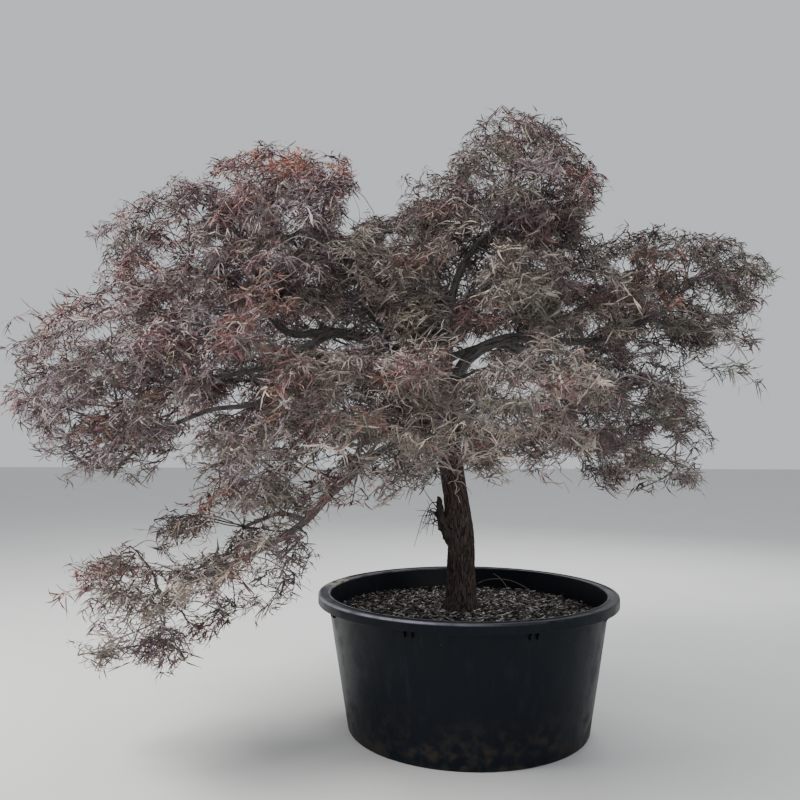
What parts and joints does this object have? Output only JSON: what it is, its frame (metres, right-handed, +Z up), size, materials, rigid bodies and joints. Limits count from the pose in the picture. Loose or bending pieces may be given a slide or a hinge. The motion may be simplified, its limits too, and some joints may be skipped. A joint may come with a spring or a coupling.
{
  "type": "potted japanese maple",
  "caption": "Broad, layered laceleaf maple with drying purple-brown autumn leaves, one leaning trunk and arching limbs, in a wide low black nursery pot with bark mulch.",
  "frame": {"origin": "middle of the pot's flat underside", "axes": "+Z up the trunk, -Y towards the side seen in the picture, +X to the right as seen from there"},
  "size_m": [2.9799, 2.256, 2.6889],
  "materials": {
    "pot_plastic": "scuffed black polyethylene",
    "mulch": "weathered bark chips",
    "bark": "rough, finely fissured",
    "limb_bark": "smoother grey-brown bark",
    "foliage": "dull, dry"
  },
  "bodies": {
    "root": {"pot": "pot_plastic", "mulch": "mulch", "trunk": "bark", "leader": "limb_bark", "right_limb": "limb_bark", "left_limb": "limb_bark", "back_limb": "limb_bark", "front_limb": "limb_bark", "low_limb": "limb_bark", "spur": "limb_bark", "tier_limb": "limb_bark", "outer_tier_limb": "limb_bark", "upper_tip_limb": "limb_bark", "mid_left_limb": "limb_bark", "centre_limb": "limb_bark", "right_top_limb": "limb_bark", "right_low_limb": "limb_bark", "front_left_limb": "limb_bark", "hang_top_limb": "limb_bark", "back_left_limb": "limb_bark", "back_right_limb": "limb_bark", "back_low_limb": "limb_bark", "back_left_low_limb": "limb_bark", "back_right_low_limb": "limb_bark", "crown_top_foliage": "foliage", "right_inner_foliage": "foliage", "upper_left_foliage": "foliage", "back_top_foliage": "foliage", "front_centre_foliage": "foliage", "hang_inner_foliage": "foliage", "left_tier_foliage": "foliage", "left_outer_foliage": "foliage", "upper_left_tip_foliage": "foliage", "mid_left_foliage": "foliage", "centre_foliage": "foliage", "right_outer_foliage": "foliage", "right_low_foliage": "foliage", "front_left_foliage": "foliage", "hang_tip_foliage": "foliage", "back_left_foliage": "foliage", "back_right_foliage": "foliage", "back_low_foliage": "foliage", "back_left_low_foliage": "foliage", "back_right_low_foliage": "foliage"}
  },
  "joints": []
}
